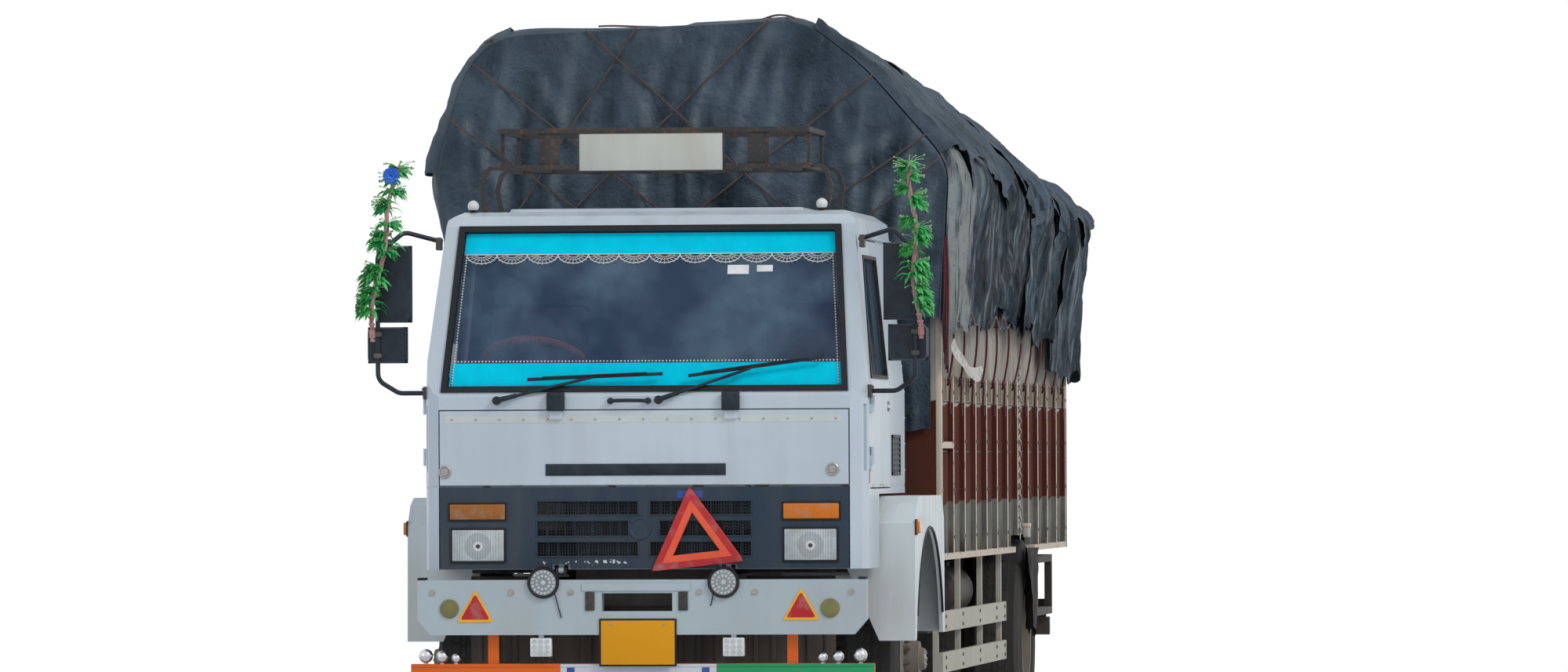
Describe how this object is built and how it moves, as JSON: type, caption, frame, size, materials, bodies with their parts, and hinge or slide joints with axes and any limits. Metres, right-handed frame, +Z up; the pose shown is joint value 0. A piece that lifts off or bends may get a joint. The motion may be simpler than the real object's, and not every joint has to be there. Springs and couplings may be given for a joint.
{
  "type": "decorated two-axle cab-over lorry with a covered load body",
  "caption": "Cab-over lorry with a tilting cab, doors, front hatch, steering, twin rear wheels, slatted load body, tailboard, lashed cover, roof rack and garlands.",
  "frame": {"origin": "on the ground under the middle of the lorry's box", "axes": "-Y forwards, +X to the lorry's own left, +Z up"},
  "size_m": [2.72, 9.35, 3.65],
  "materials": {
    "chassis_black": "dusty satin black",
    "engine_grey": "oily grey",
    "tank_paint": "dull grey",
    "cream_steel": "chalky cream",
    "flap_rubber": "dusty black",
    "cab_paint": "white with a blue cast, satin",
    "cab_inside": "grey trim",
    "glass": "clear",
    "seal_rubber": "black",
    "grille_paint": "dark blue grey",
    "lamp_glass": "clear lens",
    "board_paint": "orange, white and green",
    "rack_steel": "dark, rusty",
    "mirror_plastic": "matt black",
    "garland_plastic": "green",
    "seat_cloth": "worn woven",
    "triangle_plastic": "red and orange",
    "floor_timber": "worn planks",
    "body_brown": "matt brown and cream",
    "tarpaulin": "weathered blue-grey tarpaulin",
    "tyre": "worn",
    "rim_paint": "dull grey"
  },
  "bodies": {
    "chassis": {"chassis_frame": "chassis_black", "engine": "engine_grey", "front_axle": "chassis_black", "rear_axle": "chassis_black", "leaf_springs": "chassis_black", "propshaft": "chassis_black", "fuel_tank": "tank_paint", "air_tank": "chassis_black", "battery_box": "chassis_black", "side_guards": "cream_steel", "rear_carrier": "chassis_black", "mud_flaps": "flap_rubber", "bumper": "cab_paint", "bumper_lamps": "lamp_glass", "lower_board": "board_paint", "fenders": "cab_paint", "load_floor": "floor_timber", "headboard": "body_brown", "side_walls": "body_brown", "rear_frame": "body_brown", "tarp_hoops": "chassis_black", "tarp_cover": "tarpaulin"},
    "cab": {"cab_front": "cab_paint", "cab_shell": "cab_paint", "cab_roof": "cab_paint", "cab_floor": "cab_inside", "windscreen": "glass", "windscreen_seal": "seal_rubber", "grille_panel": "grille_paint", "front_lamps": "lamp_glass", "wipers": "seal_rubber", "roof_rack": "rack_steel", "mirrors": "mirror_plastic", "garlands": "garland_plastic", "seats": "seat_cloth", "dashboard": "cab_inside", "warning_triangle": "triangle_plastic"},
    "door_left": {"door_left": "cab_paint", "door_glass_left": "glass"},
    "door_right": {"door_right": "cab_paint", "door_glass_right": "glass"},
    "front_hatch": {"front_hatch": "cab_paint"},
    "tailboard": {"tailboard": "body_brown"},
    "knuckle_left": {"knuckle_left": "chassis_black"},
    "knuckle_right": {"knuckle_right": "chassis_black"},
    "tie_rod": {"tie_rod": "chassis_black"},
    "wheel_front_left": {"tyre_front_left": "tyre", "rim_front_left": "rim_paint"},
    "wheel_front_right": {"tyre_front_right": "tyre", "rim_front_right": "rim_paint"},
    "wheels_rear_left": {"tyres_rear_left": "tyre", "rims_rear_left": "rim_paint"},
    "wheels_rear_right": {"tyres_rear_right": "tyre", "rims_rear_right": "rim_paint"}
  },
  "joints": [
    {"name": "cab_tilt", "type": "hinge", "parent": "chassis", "child": "cab", "pos_m": [0, -4.525, 0.962], "axis": [1, 0, 0], "range_deg": [0, 45]},
    {"name": "door_left_swing", "type": "hinge", "parent": "cab", "child": "door_left", "pos_m": [1.052, -4.379, 1.6], "axis": [0, 0, -1], "range_deg": [0, 65]},
    {"name": "door_right_swing", "type": "hinge", "parent": "cab", "child": "door_right", "pos_m": [-1.052, -4.379, 1.6], "axis": [0, 0, 1], "range_deg": [0, 65]},
    {"name": "hatch_lift", "type": "hinge", "parent": "cab", "child": "front_hatch", "pos_m": [0, -4.567, 1.74], "axis": [-1, 0, 0], "range_deg": [0, 75]},
    {"name": "tailboard_drop", "type": "hinge", "parent": "chassis", "child": "tailboard", "pos_m": [0, 4.643, 1.016], "axis": [-1, 0, 0], "range_deg": [0, 90]},
    {"name": "steer_left", "type": "hinge", "parent": "chassis", "child": "knuckle_left", "pos_m": [0.8, -3.275, 0.52], "axis": [0, 0, 1], "range_deg": [-35, 35]},
    {"name": "steer_right", "type": "hinge", "parent": "chassis", "child": "knuckle_right", "pos_m": [-0.8, -3.275, 0.52], "axis": [0, 0, 1], "range_deg": [-35, 35]},
    {"name": "tie_rod_turn", "type": "hinge", "parent": "knuckle_left", "child": "tie_rod", "pos_m": [0.8, -3.11, 0.475], "axis": [0, 0, 1], "range_deg": [-35, 35]},
    {"name": "spin_front_left", "type": "hinge", "parent": "knuckle_left", "child": "wheel_front_left", "pos_m": [0.965, -3.275, 0.52], "axis": [1, 0, 0], "continuous": true},
    {"name": "spin_front_right", "type": "hinge", "parent": "knuckle_right", "child": "wheel_front_right", "pos_m": [-0.965, -3.275, 0.52], "axis": [1, 0, 0], "continuous": true},
    {"name": "spin_rear_left", "type": "hinge", "parent": "chassis", "child": "wheels_rear_left", "pos_m": [0.9, 2.059, 0.52], "axis": [1, 0, 0], "continuous": true},
    {"name": "spin_rear_right", "type": "hinge", "parent": "chassis", "child": "wheels_rear_right", "pos_m": [-0.9, 2.059, 0.52], "axis": [1, 0, 0], "continuous": true}
  ],
  "couplings": [
    {"joint": "steer_right", "follows": "steer_left", "ratio": 1},
    {"joint": "tie_rod_turn", "follows": "steer_left", "ratio": -1}
  ]
}
